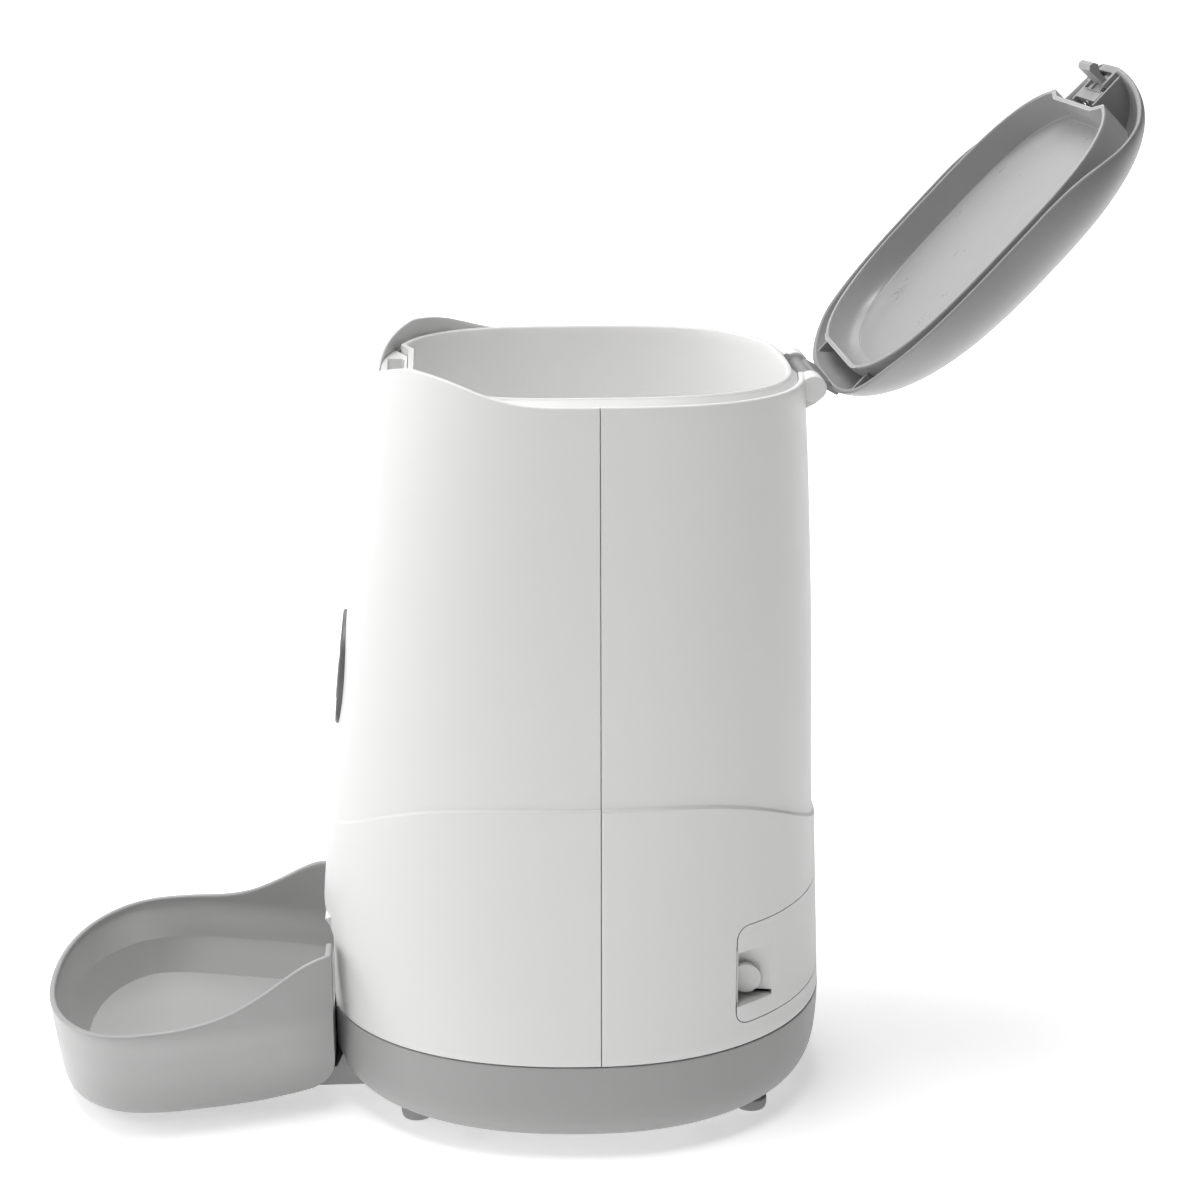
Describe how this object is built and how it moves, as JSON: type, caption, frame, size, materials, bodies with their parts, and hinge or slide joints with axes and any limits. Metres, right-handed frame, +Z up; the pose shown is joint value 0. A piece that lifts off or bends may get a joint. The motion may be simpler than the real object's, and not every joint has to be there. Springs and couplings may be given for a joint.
{
  "type": "automatic pet feeder",
  "caption": "Automatic dry food feeder: tapered upright hopper housing with hinged domed lid, grey base and a pull-off bowl docked in front.",
  "frame": {"origin": "on the floor under the middle of the overall box, with the bowl docked and the lid open: X = 0 is the middle plane, Y = 0 is half way between the front of the bowl and the back of the open lid (the seam between the housing halves is at Y = +5.5 mm), Z = 0 is the underside of the feet", "axes": "+Z up, -Y towards the bowl (front), +Y towards the lid hinge (rear), +X towards the side with the right finger pocket"},
  "size_m": [0.193, 0.4271, 0.4076],
  "materials": {
    "white_housing": "satin white ABS moulding",
    "grey_plastic": "satin mid grey ABS moulding",
    "grey_lid": "satin mid grey ABS moulding",
    "liner_grey": "light grey satin moulding",
    "latch_grey": "light grey satin moulding",
    "foot_rubber": "grey elastomer",
    "zinc_steel": "zinc plated steel",
    "spring_steel": "bright spring wire",
    "panel_grey": "satin dark grey moulding",
    "window_dark": "glossy smoked window",
    "button_soft": "soft touch light grey",
    "rotor_white": "natural acetal",
    "gear_nylon": "natural nylon",
    "motor_can": "plated steel can",
    "box_black": "black moulding",
    "cell_wrap": "plain dark wrap",
    "board_green": "green circuit board",
    "chip_black": "black components",
    "coil_copper": "enamelled copper winding"
  },
  "bodies": {
    "housing": {"front_shell": "white_housing", "rear_shell": "white_housing", "base_tray": "grey_plastic", "rubber_feet": "foot_rubber", "base_screws": "zinc_steel", "hopper": "white_housing", "latch_catch": "white_housing", "hinge_pin": "zinc_steel", "control_panel": "panel_grey", "status_window": "window_dark", "panel_board": "board_green", "metering_housing": "white_housing", "gear_motor": "motor_can", "outlet_chute": "white_housing", "battery_box": "box_black", "batteries": "cell_wrap", "battery_contacts": "zinc_steel", "dc_jack": "box_black", "main_board": "board_green", "board_components": "chip_black", "board_posts": "grey_plastic", "reader_coil": "coil_copper"},
    "lid": {"lid_shell": "grey_lid", "lid_liner": "liner_grey", "latch_spring": "spring_steel"},
    "latch": {"latch_button": "grey_lid", "latch_slider": "latch_grey"},
    "food_bowl": {"bowl": "grey_plastic"},
    "cover": {"battery_cover": "white_housing"},
    "tab_right": {"cover_tab_right": "white_housing"},
    "tab_left": {"cover_tab_left": "white_housing"},
    "feed_key": {"feed_button": "button_soft"},
    "rotor": {"metering_rotor": "rotor_white", "rotor_shaft": "zinc_steel", "rotor_gear": "gear_nylon"},
    "pinion": {"motor_pinion": "gear_nylon"}
  },
  "joints": [
    {"name": "lid_hinge", "type": "hinge", "parent": "housing", "child": "lid", "pos_m": [0, 0.09029, 0.2878], "axis": [1, 0, 0], "range_deg": [0, 132.7]},
    {"name": "latch_press", "type": "slide", "parent": "lid", "child": "latch", "axis": [0, -0.6782, -0.7349], "range_m": [0, 0.002], "stiffness_N_per_m": 400, "springref_m": -0.002, "deforming": ["latch_spring"]},
    {"name": "bowl_pull", "type": "slide", "parent": "housing", "child": "food_bowl", "axis": [0, -1, 0], "range_m": [0, 0.12]},
    {"name": "cover_lift_off", "type": "slide", "parent": "housing", "child": "cover", "axis": [0, 1, 0], "range_m": [0, 0.06]},
    {"name": "tab_right_slide", "type": "slide", "parent": "cover", "child": "tab_right", "axis": [0, 1, 0], "range_m": [0, 0.003], "stiffness_N_per_m": 300, "springref_m": -0.001},
    {"name": "tab_left_slide", "type": "slide", "parent": "cover", "child": "tab_left", "axis": [0, 1, 0], "range_m": [0, 0.003], "stiffness_N_per_m": 300, "springref_m": -0.001},
    {"name": "feed_press", "type": "slide", "parent": "housing", "child": "feed_key", "axis": [0, 0.9955, -0.0947], "range_m": [0, 0.0006], "stiffness_N_per_m": 1500, "springref_m": -0.0003},
    {"name": "rotor_spin", "type": "hinge", "parent": "housing", "child": "rotor", "pos_m": [0, 0.00249, 0.12], "axis": [0, 0, 1], "continuous": true},
    {"name": "pinion_spin", "type": "hinge", "parent": "housing", "child": "pinion", "pos_m": [0.0252, 0.00249, 0.1], "axis": [0, 0, 1], "continuous": true}
  ],
  "couplings": [
    {"joint": "pinion_spin", "follows": "rotor_spin", "ratio": -2.5}
  ]
}
